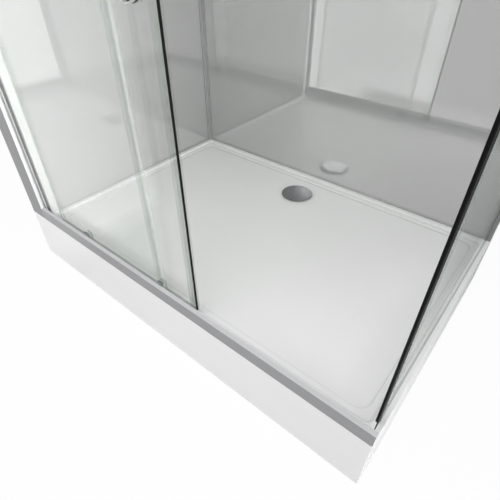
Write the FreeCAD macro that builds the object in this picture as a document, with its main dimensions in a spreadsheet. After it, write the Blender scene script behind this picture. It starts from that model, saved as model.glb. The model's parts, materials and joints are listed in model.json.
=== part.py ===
import FreeCAD, Part
import math
import os
import re
import Sketcher

# Shower cabin with a tray on feet, two opaque walls, a fixed front pane, a sliding door and a side pane.
# Millimetres, +X to the right, +Y to the back, +Z up. The origin is on the floor, under the tray's centre.

SIZES = {
    # tray, outside sizes and the rims around its floor
    "tray_width": 1200,
    "tray_depth": 800,
    "tray_height": 167.5,
    "tray_skirt": 48,
    "tray_wall": 6,
    "left_rim": 76,
    "right_rim": 22,
    "front_rim": 37,
    "back_rim": 46,
    "floor_drop": 9.5,
    "floor_corner": 14,
    "floor_round": 3.5,
    "rim_round": 3,
    "inner_step": 18,
    "inner_drop": 1.2,
    "inner_corner": 30,
    "apron_thickness": 4,
    "apron_lift": 1,
    "apron_round": 2,
    # drain
    "drain_right": 1,
    "drain_from_back": 158,
    "drain_hole": 45,
    "drain_flange": 51,
    "flange_thickness": 2,
    "collar_wall": 3,
    "collar_depth": 22,
    "ledge_width": 4,
    "ledge_height": 3,
    "gasket_thickness": 2.5,
    "drain_cup": 44.5,
    "cup_wall": 3,
    "outlet_radius": 20,
    "outlet_wall": 3,
    "outlet_gap": 2.5,
    "outlet_reach": 112,
    "outlet_collar": 22,
    "outlet_collar_height": 3,
    "trap_radius": 22,
    "trap_wall": 2,
    "trap_foot_gap": 15,
    "cover_radius": 53.5,
    "cover_edge": 2,
    "cover_thickness": 3.2,
    "cover_crown": 1.2,
    "cover_ring": 49,
    "cover_ring_wall": 3,
    "cover_gap": 2,
    "cover_slot": 30,
    "cover_round": 0.8,
    # support under the tray
    "bar_size": 30,
    "bar_wall": 2,
    "bar_from_front": 130,
    "bar_from_back": 75,
    "bar_end_gap": 70,
    "foot_from_side": 140,
    "rod_radius": 6,
    "rod_entry": 20,
    "pad_radius": 25,
    "pad_height": 9,
    "pad_round": 2,
    "nut_radius": 11,
    "nut_height": 10,
    # front frame
    "cabin_height": 2150,
    "post_width": 69,
    "channel_depth": 14,
    "lip_depth": 9.5,
    "lip_rise": 3,
    "bead_depth": 2.9,
    "rail_height": 36.5,
    "bead_height": 18,
    "seat_height": 8,
    "base_depth": 10,
    "base_height": 3,
    "fin_gap": 3,
    "fin_thickness": 2,
    "fin_height": 9,
    "top_rail_height": 60,
    "top_seat": 20,
    "hood_depth": 44,
    "hood_thickness": 4,
    "track_width": 6.4,
    "track_thickness": 3,
    "roll_gap": 0.3,
    "rail_end_round": 6,
    "edge_round": 0.5,
    # glass and its seals
    "glass_thickness": 6,
    "glass_gap": 0.3,
    "glass_inset": 1,
    "glass_bevel": 0.7,
    "fixed_edge": 632,
    "seal_wall": 1.2,
    "seal_fit": 0.1,
    "seal_grip": 18,
    "seal_nose": 3.5,
    "seal_gap": 0.5,
    # walls
    "wall_face": 61,
    "back_face": 30,
    "panel_thickness": 6,
    "joint_left": 8,
    "joint_right": 54,
    "joint_depth": 12,
    "jamb_left": 30,
    "jamb_depth": 26,
    "jamb_slot": 13,
    "jamb_lip": 1.2,
    "trim_leg": 12,
    "trim_thickness": 2,
    "corner_leg": 40,
    "corner_depth": 15,
    "cap_height": 24,
    "cap_thickness": 4,
    "cap_lip": 2.4,
    # side pane
    "side_inset": 10,
    "side_lip": 2.7,
    "side_base_height": 12,
    "side_seat": 3,
    "side_top_height": 36,
    "side_top_seat": 18,
    "side_front": 50,
    "web_depth": 2,
    "stop_lip": 16,
    "stop_thickness": 1.5,
    "side_grip": 16,
    "side_seal_lift": 10.5,
    "side_seal_inset": 1,
    "end_grip": 15,
    "end_web": 4.7,
    "end_lip": 1.7,
    "end_width": 20,
    "end_wall": 7,
    "end_back": 5.7,
    # door
    "door_width": 599,
    "door_tail_gap": 63,
    "door_lift": 12.5,
    "door_top_gap": 8,
    "magnet_size": 6,
    "door_magnet_width": 4.8,
    "door_magnet_depth": 4,
    "door_magnet_round": 1.5,
    "carrier_grip": 18,
    "rear_seal_grip": 10,
    "rear_seal_nose": 1.2,
    "drip_thickness": 4,
    "drip_gap": 4,
    "drip_end": 1,
    "guide_from_tail": 144,
    "guide_from_edge": 123,
    "guide_width": 18,
    "guide_leg": 3,
    "guide_height": 25,
    "guide_gap": 0.3,
    "guide_clear": 0.5,
    "guide_front": 1,
    "pull_from_edge": 70,
    "pull_height": 835,
    "pull_radius": 30,
    "pull_hole": 27,
    "pull_front": 5,
    "pull_back": 5,
    "pull_round": 1,
    # rollers that carry the door
    "wheel_radius": 11,
    "wheel_width": 5,
    "wheel_drop": 30,
    "wheel_gap": 0.3,
    "wheel_round": 0.8,
    "web_gap": 0.6,
    "axle_radius": 3,
    "axle_fit": 0.05,
    "axle_head": 4.5,
    "axle_head_height": 0.8,
    "axle_collar": 6,
    "collar_stand": 1,
    "axle_tail": 6,
    "hanger_from_edge": 110,
    "hanger_spacing": 52,
    "hanger_width": 92,
    "hanger_height": 34,
    "hanger_thickness": 3,
    "hanger_round": 8,
    "axle_nut": 6,
    "axle_nut_height": 5,
    # mixer and shower
    "mixer_height": 1080,
    "mixer_from_front": 430,
    "mixer_reach": 52,
    "mixer_radius": 21,
    "mixer_length": 190,
    "mixer_round": 3,
    "inlet_spacing": 150,
    "union_radius": 10.5,
    "union_neck": 9.5,
    "union_fit": 0.5,
    "union_tail": 35,
    "boss_radius": 14,
    "boss_gap": 14,
    "plate_radius": 32,
    "plate_thickness": 9,
    "plate_round": 4,
    "spindle_radius": 9,
    "spindle_length": 24,
    "spindle_fit": 0.05,
    "knob_radius": 22.5,
    "knob_length": 46,
    "knob_gap": 0.5,
    "knob_round": 3,
    "grip_width": 7,
    "grip_rise": 6,
    "grip_length": 30,
    "riser_radius": 11,
    "riser_foot": 32,
    "riser_bend": 60,
    "arm_drop": 110,
    "head_reach": 350,
    "drop_length": 22,
    "ball_radius": 12,
    "ball_fit": 0.08,
    "neck_radius": 7,
    "neck_length": 10,
    "socket_radius": 18,
    "socket_rise": 7,
    "socket_floor": 4,
    "head_radius": 110,
    "head_thickness": 8,
    "head_dome": 6,
    "head_round": 2.5,
    "nozzle_plate_radius": 100,
    "nozzle_plate_height": 3,
    "nozzle_radius": 2.2,
    "nozzle_height": 2.5,
    "nozzle_pitch": 28,
    "clamp_below_arm": 260,
    "clamp_wall": 5,
    "clamp_height": 22,
    "clamp_arm": 8,
    "clamp_foot": 22,
    "clamp_foot_height": 6,
    # wall brackets
    "bracket_spacing": 600,
    "bracket_width": 40,
    "bracket_height": 44,
    "bracket_thickness": 3,
    "bracket_hole": 3.5,
    "bracket_hole_drop": 32,
    "screw_radius": 2.4,
    "screw_head": 4.5,
    "screw_head_height": 2.5,
    "screw_drop": 14,
    # round pieces of one body stand this far apart, and every cut runs past its face by the overrun
    "loose_fit": 0.3,
    "overrun": 5,
}

# Where each crossbar stands, as a share of the tray's width.
CROSSBAR_SHARES = (0.15, 0.36, 0.85)
# Where each foot stands, as a share of the span between the two outer feet.
FOOT_SHARES = (0, 0.38, 1)
# A rounding takes at most this share of the wall that it runs along.
ROUND_SHARE = 0.3
# The cover's dome starts at this share of its radius.
COVER_DOME_SHARE = 0.84
NOZZLE_RINGS = 3
FIRST_RING_COUNT = 6
# Two places closer than this are one place.
SAME_PLACE = 1e-4

doc = FreeCAD.newDocument("shower_cabin")
sheet = doc.addObject("Spreadsheet::Sheet", "sizes")
for row, (name, value) in enumerate(SIZES.items(), start=1):
    sheet.set(f"A{row}", name)
    sheet.set(f"B{row}", str(value))
    sheet.setAlias(f"B{row}", name)
doc.recompute()

nodes = []

# Places that many pieces share, as formulas over the named sizes.
LEFT = "(-tray_width / 2)"
RIGHT = "(tray_width / 2)"
FRONT = "(-tray_depth / 2)"
BACK = "(tray_depth / 2)"
RIM = "tray_height"
TOP = "cabin_height"
FLOOR = "(tray_height - floor_drop - inner_drop)"
UNDERSIDE = f"({FLOOR} - tray_wall)"
BAR_BASE = f"({UNDERSIDE} - bar_size)"
DRAIN_X = "drain_right"
DRAIN_Y = f"({BACK} - drain_from_back)"
OUTLET_Z = f"({BAR_BASE} - outlet_gap - outlet_radius)"
CUP_BASE = f"({OUTLET_Z} - outlet_radius - cup_wall)"
SLOT = "(glass_thickness + 2 * glass_gap)"
POST_EDGE = f"({LEFT} + post_width)"
LIP_Y = f"({FRONT} + lip_depth)"
BEAD_Y = f"({LIP_Y} + {SLOT})"
FRAME_Y = f"({BEAD_Y} + bead_depth)"
FIXED_FRONT = f"({LIP_Y} + glass_gap)"
FIXED_BACK = f"({FIXED_FRONT} + glass_thickness)"
FIXED_EDGE = f"({LEFT} + fixed_edge)"
WHEEL_FRONT = f"({FRAME_Y} + web_gap + axle_head_height + wheel_gap)"
WHEEL_BACK = f"({WHEEL_FRONT} + wheel_width)"
COLLAR_FRONT = f"({WHEEL_BACK} + wheel_gap)"
DOOR_FRONT = f"({COLLAR_FRONT} + collar_stand)"
DOOR_BACK = f"({DOOR_FRONT} + glass_thickness)"
DOOR_TAIL = f"({POST_EDGE} + door_tail_gap)"
DOOR_LEAD = f"({DOOR_TAIL} + door_width)"
DOOR_EDGE = f"({DOOR_LEAD} - door_magnet_width - seal_wall)"
DOOR_FOOT = f"({RIM} + door_lift)"
DOOR_SEAL_TOP = f"({TOP} - top_rail_height)"
AXLE_Z = f"({TOP} - wheel_drop)"
WALL_X = f"({LEFT} + wall_face)"
WALL_Y = f"({BACK} - back_face)"
PANEL_X = f"({WALL_X} - panel_thickness)"
PANEL_Y = f"({WALL_Y} + panel_thickness)"
JAMB_Y = f"({FRAME_Y} + joint_depth)"
PROFILE_TOP = f"({TOP} - cap_height)"
PANEL_TOP = f"({TOP} - cap_thickness)"
SIDE_OUT = f"({RIGHT} - side_inset)"
SIDE_IN = f"({SIDE_OUT} - glass_thickness)"
SIDE_FRONT = f"({FRONT} + side_front)"
SIDE_END = f"({WALL_Y} - glass_gap - end_web)"
SIDE_GRIP_Y = f"({SIDE_END} - end_grip)"
CAP_BACK = f"({PANEL_Y} + glass_gap + cap_lip)"
MIXER_X = f"({WALL_X} + mixer_reach)"
MIXER_Y = f"({FRONT} + mixer_from_front)"
MIXER_Z = "mixer_height"
HEAD_X = f"({MIXER_X} + head_reach)"
ARM_Z = f"({TOP} - arm_drop)"
DROP_Z = f"({ARM_Z} - riser_bend - drop_length)"
BALL_Z = f"({DROP_Z} - neck_length - ball_radius)"
HEAD_BASE = f"({BALL_Z} - ball_radius - socket_floor)"


def formula(text):
    # Points every size name in the text at its cell of the sheet.
    return re.sub(r"\b[a-z]\w*\b(?!\()", lambda word: "sizes." + word.group(0), str(text))


def bind(obj, path, text):
    obj.setExpression(path, formula(text))


def place(obj, x, y, z):
    bind(obj, "Placement.Base.x", x)
    bind(obj, "Placement.Base.y", y)
    bind(obj, "Placement.Base.z", z)


def keep(label, obj):
    # Marks an object as a piece of the cabin, under its own name.
    obj.Label = label
    nodes.append(obj)


def box(name, across, along, up):
    # A block between two places on each axis.
    obj = doc.addObject("Part::Box", name)
    for side, (low, high) in (("Length", across), ("Width", along), ("Height", up)):
        bind(obj, side, f"({high}) - ({low})")
    place(obj, across[0], along[0], up[0])
    return obj


TURNS = {
    "x": FreeCAD.Rotation(FreeCAD.Vector(0, 1, 0), 90),
    "y": FreeCAD.Rotation(FreeCAD.Vector(1, 0, 0), -90),
    "z": FreeCAD.Rotation(),
}


def stand(obj, axis, low, spot):
    # Sets a round piece's foot at low on its axis; spot gives the other two places, in X, Y, Z order.
    obj.Placement = FreeCAD.Placement(FreeCAD.Vector(), TURNS[axis])
    spots = list(spot)
    spots.insert("xyz".index(axis), low)
    place(obj, *spots)
    return obj


def cylinder(name, radius, low, high, spot, axis="z"):
    obj = doc.addObject("Part::Cylinder", name)
    bind(obj, "Radius", radius)
    bind(obj, "Height", f"({high}) - ({low})")
    return stand(obj, axis, low, spot)


def hexagon(name, radius, low, high, spot, axis="z"):
    obj = doc.addObject("Part::Prism", name)
    obj.Polygon = 6
    bind(obj, "Circumradius", radius)
    bind(obj, "Height", f"({high}) - ({low})")
    return stand(obj, axis, low, spot)


def outline(body, role, points):
    # A closed sketch of straight lines, each corner held at its place from the origin.
    sketch = body.newObject("Sketcher::SketchObject", "Outline")
    plane = next(item for item in body.Origin.OriginFeatures if item.Role == role)
    sketch.AttachmentSupport = (plane, [""])
    sketch.MapMode = "FlatFace"
    count = len(points)
    turn = 2 * math.pi / count
    spots = [FreeCAD.Vector(math.cos(turn * i), math.sin(turn * i), 0) for i in range(count)]
    for i in range(count):
        sketch.addGeometry(Part.LineSegment(spots[i], spots[(i + 1) % count]))
    for i in range(count):
        sketch.addConstraint(Sketcher.Constraint("Coincident", i, 2, (i + 1) % count, 1))
    for i, (across, along) in enumerate(points):
        for kind, text, start in (("DistanceX", across, spots[i].x), ("DistanceY", along, spots[i].y)):
            index = sketch.addConstraint(Sketcher.Constraint(kind, -1, 1, i, 1, start))
            bind(sketch, f"Constraints[{index}]", text)
    return sketch


RUNS = {"x": "YZ_Plane", "y": "XZ_Plane", "z": "XY_Plane"}


def profile(name, axis, points, low, high, wall=None):
    # A section drawn square to an axis and run along it; its edges are rounded where a wall is named.
    body = doc.addObject("PartDesign::Body", name)
    sketch = outline(body, RUNS[axis], points)
    run = body.newObject("PartDesign::Pad", "Run")
    run.Profile = sketch
    run.Reversed = axis == "y"
    bind(run, "Length", f"({high}) - ({low})")
    bind(body, f"Placement.Base.{axis}", low)
    if wall:
        doc.recompute()
        rounding = body.newObject("PartDesign::Fillet", "Rounding")
        rounding.Base = (run, ["Edge1"])
        rounding.UseAllEdges = True
        bind(rounding, "Radius", f"min(edge_round; {wall} * {ROUND_SHARE})")
    return body


def turned(name, points, spot, axis="z"):
    # A turned piece: points are (radius, place along the axis), spot is where the axis starts.
    body = doc.addObject("PartDesign::Body", name)
    sketch = outline(body, "XZ_Plane", points)
    turning = body.newObject("PartDesign::Revolution", "Turning")
    turning.Profile = sketch
    turning.ReferenceAxis = (sketch, ["V_Axis"])
    turning.Angle = 360
    body.Placement = FreeCAD.Placement(FreeCAD.Vector(), TURNS[axis])
    place(body, *spot)
    return body


def fuse(name, *shapes):
    obj = doc.addObject("Part::MultiFuse", name)
    obj.Shapes = list(shapes)
    obj.Refine = True
    return obj


def cut(base, *tools):
    for tool in tools:
        obj = doc.addObject("Part::Cut", base.Name + "_cut")
        obj.Base = base
        obj.Tool = tool
        base = obj
    return base


def group(name, shapes):
    obj = doc.addObject("Part::Compound", name)
    obj.Links = list(shapes)
    return obj


def soften(base, size, wanted, kind="Part::Fillet"):
    # Rounds, or bevels, those edges of a finished shape that the test picks.
    doc.recompute()
    obj = doc.addObject(kind, base.Name + "_soft")
    obj.Base = base
    length = getattr(sheet, size)
    obj.Edges = [(i, length, length) for i, edge in enumerate(base.Shape.Edges, start=1) if wanted(edge)]
    return obj


def every_edge(edge):
    return True


def upright(edge):
    return edge.BoundBox.ZLength > edge.BoundBox.XLength + edge.BoundBox.YLength


def level_at(height):
    return lambda edge: edge.BoundBox.ZLength < SAME_PLACE and abs(edge.BoundBox.ZMin - height) < SAME_PLACE


def ring_at(axis, spot, radius):
    # Picks whole circles of a radius that lie square to an axis, at a place along it.
    def wanted(edge):
        if not edge.Closed or not isinstance(edge.Curve, Part.Circle):
            return False
        low = getattr(edge.BoundBox, axis.upper() + "Min")
        length = getattr(edge.BoundBox, axis.upper() + "Length")
        return max(length, abs(low - spot), abs(edge.Curve.Radius - radius)) < SAME_PLACE
    return wanted


# Tray and aprons

def floor_tool(name, inset, base, corner):
    # The space over a step of the tray's floor, with its upright corners rounded.
    block = box(
        name,
        (f"{LEFT} + left_rim + {inset}", f"{RIGHT} - right_rim - {inset}"),
        (f"{FRONT} + front_rim + {inset}", f"{BACK} - back_rim - {inset}"),
        (base, f"{RIM} + overrun"),
    )
    return soften(block, corner, upright)


def make_tray():
    block = box(
        "tray_block",
        (LEFT, f"{RIGHT} - apron_thickness"),
        (f"{FRONT} + apron_thickness", BACK),
        (f"{RIM} - tray_skirt", RIM),
    )
    hollow = box(
        "tray_hollow",
        (f"{LEFT} + tray_wall", f"{RIGHT} - apron_thickness - tray_wall"),
        (f"{FRONT} + apron_thickness + tray_wall", f"{BACK} - tray_wall"),
        (f"{RIM} - tray_skirt - overrun", UNDERSIDE),
    )
    step = floor_tool("tray_step", 0, f"{RIM} - floor_drop", "floor_corner")
    step = soften(step, "floor_round", level_at(sheet.tray_height - sheet.floor_drop))
    inner = floor_tool("tray_inner", "inner_step", FLOOR, "inner_corner")
    hole = cylinder("tray_hole", "drain_hole", f"{UNDERSIDE} - overrun", f"{RIM} + overrun",
                    (DRAIN_X, DRAIN_Y))
    tray = cut(block, hollow, step)
    outer = sheet.tray_width / 2 - sheet.apron_thickness
    at_rim = level_at(sheet.tray_height)

    def inside(edge):
        reach = max(abs(edge.BoundBox.XMin), edge.BoundBox.XMax)
        return at_rim(edge) and reach < outer - SAME_PLACE

    tray = soften(tray, "rim_round", inside)
    keep("shower_tray", cut(tray, inner, hole))


def make_aprons():
    front = box("front_sheet", (LEFT, RIGHT), (FRONT, f"{FRONT} + apron_thickness"), ("apron_lift", RIM))
    side = box("right_sheet", (f"{RIGHT} - apron_thickness", RIGHT), (f"{FRONT} + apron_thickness", BACK),
               ("apron_lift", RIM))
    at_rim = level_at(sheet.tray_height)

    def faces_right(edge):
        return abs(edge.BoundBox.XMin - sheet.tray_width / 2) < SAME_PLACE

    def faces_front(edge):
        return abs(edge.BoundBox.YMax + sheet.tray_depth / 2) < SAME_PLACE

    def shown(edge):
        return sum((at_rim(edge), faces_right(edge), faces_front(edge))) > 1

    keep("front_apron", soften(front, "apron_round", shown))
    keep("right_apron", soften(side, "apron_round", shown))


# Drain

def make_drain():
    axis = (DRAIN_X, DRAIN_Y, 0)
    cup_in = "(drain_cup - cup_wall)"
    collar_out = f"({cup_in} - loose_fit)"
    collar_in = f"({collar_out} - collar_wall)"
    collar_base = f"({FLOOR} - collar_depth)"
    ledge = f"({collar_base} + ledge_height)"
    flange_top = f"({FLOOR} + flange_thickness)"
    keep("drain_flange", turned("flange_turning", [
        ("drain_flange", FLOOR),
        ("drain_flange", flange_top),
        (collar_in, flange_top),
        (collar_in, ledge),
        (f"{collar_in} - ledge_width", ledge),
        (f"{collar_in} - ledge_width", collar_base),
        (collar_out, collar_base),
        (collar_out, FLOOR),
    ], axis))

    gasket_base = f"({UNDERSIDE} - gasket_thickness)"
    keep("drain_gasket", turned("gasket_turning", [
        ("drain_hole", gasket_base),
        ("drain_flange", gasket_base),
        ("drain_flange", UNDERSIDE),
        ("drain_hole", UNDERSIDE),
    ], axis))

    cup = turned("cup_turning", [
        (0, CUP_BASE),
        ("drain_cup", CUP_BASE),
        ("drain_cup", f"{gasket_base} - cup_wall"),
        ("drain_flange", f"{gasket_base} - cup_wall"),
        ("drain_flange", gasket_base),
        (0, gasket_base),
    ], axis)
    outlet_end = f"{DRAIN_Y} + outlet_reach"
    spot = (DRAIN_X, OUTLET_Z)
    pipe = cylinder("outlet_pipe", "outlet_radius", DRAIN_Y, outlet_end, spot, "y")
    stop = cylinder("outlet_stop", "outlet_collar", DRAIN_Y, f"{DRAIN_Y} + drain_cup + outlet_collar_height",
                    spot, "y")
    inside = cylinder(
        "cup_inside", cup_in, f"{CUP_BASE} + cup_wall", f"{gasket_base} + overrun", (DRAIN_X, DRAIN_Y)
    )
    bore = cylinder("outlet_bore", "outlet_radius - outlet_wall", DRAIN_Y, f"{outlet_end} + overrun",
                    spot, "y")
    keep("drain_body", cut(fuse("cup_and_outlet", cup, pipe, stop), inside, bore))

    rest = f"({collar_in} - loose_fit)"
    keep("trap_insert", turned("trap_turning", [
        ("trap_radius - trap_wall", f"{CUP_BASE} + cup_wall + trap_foot_gap"),
        ("trap_radius", f"{CUP_BASE} + cup_wall + trap_foot_gap"),
        ("trap_radius", ledge),
        (rest, ledge),
        (rest, f"{ledge} + trap_wall"),
        ("trap_radius - trap_wall", f"{ledge} + trap_wall"),
    ], axis))

    cover_base = f"({flange_top} + cover_gap)"
    dome = f"cover_radius * {COVER_DOME_SHARE}"
    cover = turned("cover_turning", [
        (0, cover_base),
        ("cover_ring - cover_ring_wall", cover_base),
        ("cover_ring - cover_ring_wall", flange_top),
        ("cover_ring", flange_top),
        ("cover_ring", cover_base),
        ("cover_radius", cover_base),
        ("cover_radius", f"{cover_base} + cover_edge"),
        (dome, f"{cover_base} + cover_thickness"),
        (0, f"{cover_base} + cover_thickness + cover_crown"),
    ], axis)
    half = "cover_slot / 2"
    wide = "cover_radius"
    slots = [
        box("cover_slot_x", (f"{DRAIN_X} - {wide}", f"{DRAIN_X} + {wide}"),
            (f"{DRAIN_Y} - {half}", f"{DRAIN_Y} + {half}"), (f"{flange_top} - overrun", cover_base)),
        box("cover_slot_y", (f"{DRAIN_X} - {half}", f"{DRAIN_X} + {half}"),
            (f"{DRAIN_Y} - {wide}", f"{DRAIN_Y} + {wide}"), (f"{flange_top} - overrun", cover_base)),
    ]
    edge = (sheet.tray_height - sheet.floor_drop - sheet.inner_drop + sheet.flange_thickness
            + sheet.cover_gap + sheet.cover_edge)
    cover = soften(cover, "cover_round", ring_at("z", edge, sheet.cover_radius))
    keep("drain_cover", cut(cover, *slots))


# Bars and feet under the tray

def make_support():
    half = "bar_size / 2"
    rows = (f"({FRONT} + bar_from_front)", f"({BACK} - bar_from_back)")
    span = "(tray_width - 2 * foot_from_side)"
    columns = [f"({LEFT} + foot_from_side + {span} * {share})" for share in FOOT_SHARES]
    bars, rods, nuts, pads = [], [], [], []
    for row in rows:
        bar = cut(
            box("bar", (f"{LEFT} + bar_end_gap", f"{RIGHT} - bar_end_gap"),
                (f"{row} - {half}", f"{row} + {half}"), (BAR_BASE, UNDERSIDE)),
            box("bar_inside", (f"{LEFT} + bar_end_gap - overrun", f"{RIGHT} - bar_end_gap + overrun"),
                (f"{row} - {half} + bar_wall", f"{row} + {half} - bar_wall"),
                (f"{BAR_BASE} + bar_wall", f"{UNDERSIDE} - bar_wall")),
        )
        rod_top = f"{BAR_BASE} + rod_entry"
        for column in columns:
            spot = (column, row)
            bar = cut(bar, cylinder("bar_hole", "rod_radius + loose_fit", f"{BAR_BASE} - overrun", rod_top,
                                    spot))
            rods.append(cylinder("rod", "rod_radius", "pad_height", rod_top, spot))
            nut = hexagon("nut", "nut_radius", f"{BAR_BASE} - nut_height", BAR_BASE, spot)
            nut_hole = cylinder("nut_hole", "rod_radius + loose_fit", f"{BAR_BASE} - nut_height - overrun",
                                f"{BAR_BASE} + overrun", spot)
            nuts.append(cut(nut, nut_hole))
            pad = cylinder("pad", "pad_radius", 0, "pad_height", spot)
            pads.append(soften(pad, "pad_round", level_at(sheet.pad_height)))
        bars.append(bar)
    keep("support_bars", group("bars", bars))
    keep("foot_rods", group("rods", rods))
    keep("foot_nuts", group("nuts", nuts))
    keep("foot_pads", group("pads", pads))
    crossbars = []
    for share in CROSSBAR_SHARES:
        middle = f"({LEFT} + tray_width * {share})"
        ends = (f"{rows[0]} + {half}", f"{rows[1]} - {half}")
        crossbars.append(cut(
            box("crossbar", (f"{middle} - {half}", f"{middle} + {half}"), ends, (BAR_BASE, UNDERSIDE)),
            box("crossbar_inside", (f"{middle} - {half} + bar_wall", f"{middle} + {half} - bar_wall"),
                (f"{ends[0]} - overrun", f"{ends[1]} + overrun"),
                (f"{BAR_BASE} + bar_wall", f"{UNDERSIDE} - bar_wall")),
        ))
    keep("support_crossbars", group("crossbars", crossbars))


# Front frame

def make_front_frame():
    channel = f"{POST_EDGE} - channel_depth"
    keep("left_post", profile("post_run", "z", [
        (LEFT, FRONT),
        (POST_EDGE, FRONT),
        (POST_EDGE, LIP_Y),
        (channel, LIP_Y),
        (channel, BEAD_Y),
        (POST_EDGE, BEAD_Y),
        (POST_EDGE, FRAME_Y),
        (LEFT, FRAME_Y),
    ], RIM, TOP, "bead_depth"))

    fin = f"({FRAME_Y} + fin_gap)"
    base = f"{RIM} + base_height"
    rail = profile("bottom_run", "x", [
        (FRONT, RIM),
        (f"{FRAME_Y} + base_depth", RIM),
        (f"{FRAME_Y} + base_depth", base),
        (f"{fin} + fin_thickness", base),
        (f"{fin} + fin_thickness", f"{RIM} + fin_height"),
        (fin, f"{RIM} + fin_height"),
        (fin, base),
        (FRAME_Y, base),
        (FRAME_Y, f"{RIM} + bead_height"),
        (BEAD_Y, f"{RIM} + bead_height"),
        (BEAD_Y, f"{RIM} + seat_height"),
        (LIP_Y, f"{RIM} + seat_height"),
        (LIP_Y, f"{RIM} + rail_height + lip_rise"),
        (FRONT, f"{RIM} + rail_height"),
    ], POST_EDGE, RIGHT, "fin_thickness")
    turn = (f"({RIGHT} - rail_end_round)", f"({RIM} + rail_end_round)")
    depth = (f"{FRONT} - overrun", f"{FRAME_Y} + base_depth + overrun")
    keep("bottom_rail", cut(rail, cut(
        box("rail_end_block", (turn[0], f"{RIGHT} + overrun"), depth, (f"{RIM} - overrun", turn[1])),
        cylinder("rail_end_turn", "rail_end_round", *depth, turn, "y"),
    )))

    track = f"({AXLE_Z} - wheel_radius - roll_gap)"
    keep("top_rail", profile("top_run", "x", [
        (FRONT, TOP),
        (FRONT, f"{TOP} - top_rail_height"),
        (LIP_Y, f"{TOP} - top_rail_height"),
        (LIP_Y, f"{TOP} - top_seat"),
        (BEAD_Y, f"{TOP} - top_seat"),
        (BEAD_Y, f"{track} - track_thickness"),
        (f"{FRAME_Y} + track_width", f"{track} - track_thickness"),
        (f"{FRAME_Y} + track_width", track),
        (FRAME_Y, track),
        (FRAME_Y, f"{TOP} - hood_thickness"),
        (f"{FRONT} + hood_depth", f"{TOP} - hood_thickness"),
        (f"{FRONT} + hood_depth", TOP),
    ], POST_EDGE, RIGHT, "bead_depth"))


def edge_seal(name, edge, grip, nose, front, back, base, top):
    # A clear channel pushed over the right edge of a pane.
    return profile(name, "z", [
        (f"{edge} - {grip}", f"{front} - seal_wall"),
        (f"{edge} + {nose}", f"{front} - seal_wall"),
        (f"{edge} + {nose}", f"{back} + seal_wall"),
        (f"{edge} - {grip}", f"{back} + seal_wall"),
        (f"{edge} - {grip}", f"{back} + seal_fit"),
        (f"{edge} + seal_fit", f"{back} + seal_fit"),
        (f"{edge} + seal_fit", f"{front} - seal_fit"),
        (f"{edge} - {grip}", f"{front} - seal_fit"),
    ], base, top)


def pane(name, across, along, up):
    return soften(box(name, across, along, up), "glass_bevel", every_edge, "Part::Chamfer")


def make_fixed_pane():
    keep("fixed_glass", pane(
        "fixed_pane",
        (f"{POST_EDGE} - channel_depth + glass_inset", FIXED_EDGE),
        (FIXED_FRONT, FIXED_BACK),
        (f"{RIM} + seat_height", f"{TOP} - top_seat - glass_inset"),
    ))
    keep("fixed_glass_seal", edge_seal(
        "fixed_seal_run", FIXED_EDGE, "seal_grip", "seal_nose", FIXED_FRONT, FIXED_BACK,
        f"{RIM} + rail_height + lip_rise + seal_gap", f"{TOP} - top_rail_height - seal_gap",
    ))


# Left and back walls

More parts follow.
